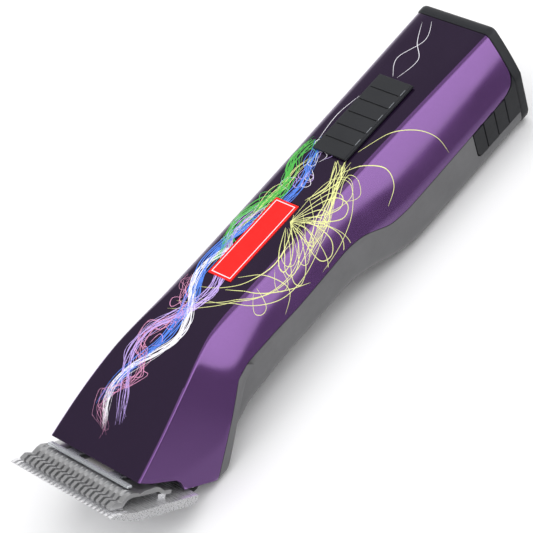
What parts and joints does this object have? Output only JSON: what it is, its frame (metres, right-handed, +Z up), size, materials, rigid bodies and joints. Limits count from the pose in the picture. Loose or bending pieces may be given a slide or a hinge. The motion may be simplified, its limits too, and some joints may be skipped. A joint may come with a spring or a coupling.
{
  "type": "cordless pet clipper",
  "caption": "Cordless pet clipper with a tilted detachable toothed blade set, waisted two-part housing, thumb slider and slide-out battery pack.",
  "frame": {"origin": "middle of the box on the rest plane, under the clipper", "axes": "+X runs from the blade to the battery end, +Y to the left of the clipper, +Z up from the table it lies on"},
  "size_m": [0.22, 0.0492, 0.0467],
  "materials": {
    "purple_lacquer": "glossy metallic purple lacquer, printed line art on a darker top panel",
    "grey_soft_plastic": "satin mid grey",
    "charcoal_plastic": "fine textured charcoal",
    "black_plastic": "satin black",
    "red_enamel": "glossy red, plain",
    "ground_steel": "ground and polished",
    "zinc_plate": "bright zinc plate",
    "brass": "plain",
    "copper_winding": "enamelled copper winding",
    "ferrite": "matte dark ferrite",
    "black_rubber": "matte",
    "green_board": "solder-masked laminate",
    "white_nylon": "moulded",
    "cell_wrap": "shrink wrap",
    "red_wire": "insulation",
    "black_wire": "insulation"
  },
  "bodies": {
    "housing": {"upper_shell": "purple_lacquer", "lower_shell": "grey_soft_plastic", "badge_plate": "red_enamel", "head_frame": "black_plastic", "hinge_pin": "ground_steel", "lever_pivot_pin": "ground_steel", "head_screw_left": "zinc_plate", "head_screw_right": "zinc_plate", "housing_screw_front_left": "zinc_plate", "housing_screw_front_right": "zinc_plate", "housing_screw_rear_left": "zinc_plate", "housing_screw_rear_right": "zinc_plate", "motor_can": "zinc_plate", "motor_end_cap": "white_nylon", "motor_bush_front": "brass", "motor_bush_rear": "brass", "motor_damper_front": "black_rubber", "motor_damper_rear": "black_rubber", "motor_magnet_upper": "ferrite", "motor_magnet_lower": "ferrite", "motor_mount_plate": "zinc_plate", "motor_screw_left": "zinc_plate", "motor_screw_right": "zinc_plate", "switch_body": "black_plastic", "circuit_board": "green_board", "smoothing_capacitor": "black_plastic", "battery_contact_left": "brass", "battery_contact_right": "brass", "motor_lead_red": "red_wire", "motor_lead_black": "black_wire", "blade_release_spring": "ground_steel"},
    "slider": {"switch_slider": "charcoal_plastic"},
    "rotor": {"motor_shaft": "ground_steel", "motor_armature": "copper_winding", "motor_commutator": "copper_winding", "eccentric_hub": "ground_steel", "eccentric_bearing": "ground_steel"},
    "lever": {"drive_lever": "ground_steel", "lever_bush": "brass"},
    "hinge": {"hinge_plate": "black_plastic"},
    "blade_set": {"blade_comb": "ground_steel", "blade_socket": "zinc_plate", "tension_spring": "zinc_plate", "blade_screw_left": "zinc_plate", "blade_screw_right": "zinc_plate"},
    "cutter": {"blade_cutter": "ground_steel", "cutter_yoke": "white_nylon"},
    "blade_catch": {"blade_release_button": "charcoal_plastic"},
    "battery_pack": {"battery_case": "charcoal_plastic", "battery_end_cap": "charcoal_plastic", "battery_cell_left": "cell_wrap", "battery_cell_right": "cell_wrap", "battery_board": "green_board", "battery_terminal_left": "brass", "battery_terminal_right": "brass", "release_spring_left": "ground_steel", "release_spring_right": "ground_steel"},
    "button_left": {"release_button_left": "charcoal_plastic"},
    "button_right": {"release_button_right": "charcoal_plastic"}
  },
  "joints": [
    {"name": "switch_slide", "type": "slide", "parent": "housing", "child": "slider", "axis": [-1, 0, 0], "range_m": [0, 0.005]},
    {"name": "motor_spin", "type": "hinge", "parent": "housing", "child": "rotor", "pos_m": [-0.0415, 0, 0.027], "axis": [1, 0, 0], "continuous": true},
    {"name": "lever_swing", "type": "hinge", "parent": "housing", "child": "lever", "pos_m": [-0.0668, 0, 0.0171], "axis": [0.6212, 0, 0.7837], "range_deg": [-3.93, 3.93]},
    {"name": "blade_tilt", "type": "hinge", "parent": "housing", "child": "hinge", "pos_m": [-0.07696, 0, 0.00757], "axis": [0, -1, 0], "range_deg": [0, 80]},
    {"name": "blade_slide_off", "type": "slide", "parent": "hinge", "child": "blade_set", "axis": [-0.7837, 0, 0.6212], "range_m": [0, 0.03]},
    {"name": "cutter_stroke", "type": "slide", "parent": "blade_set", "child": "cutter", "axis": [0, 1, 0], "range_m": [-0.00153, 0.00153]},
    {"name": "blade_release", "type": "slide", "parent": "housing", "child": "blade_catch", "axis": [0.6212, 0, 0.7837], "range_m": [0, 0.0015], "stiffness_N_per_m": 600, "springref_m": -0.0005, "deforming": ["blade_release_spring"]},
    {"name": "battery_slide", "type": "slide", "parent": "housing", "child": "battery_pack", "axis": [1, 0, 0], "range_m": [0, 0.07]},
    {"name": "release_left", "type": "slide", "parent": "battery_pack", "child": "button_left", "axis": [0, -1, 0], "range_m": [0, 0.0012], "stiffness_N_per_m": 600, "springref_m": -0.0005, "deforming": ["release_spring_left"]},
    {"name": "release_right", "type": "slide", "parent": "battery_pack", "child": "button_right", "axis": [0, 1, 0], "range_m": [0, 0.0012], "stiffness_N_per_m": 600, "springref_m": -0.0005, "deforming": ["release_spring_right"]}
  ],
  "couplings": [
    {"joint": "cutter_stroke", "follows": "lever_swing", "m_per_rad": -0.022}
  ]
}
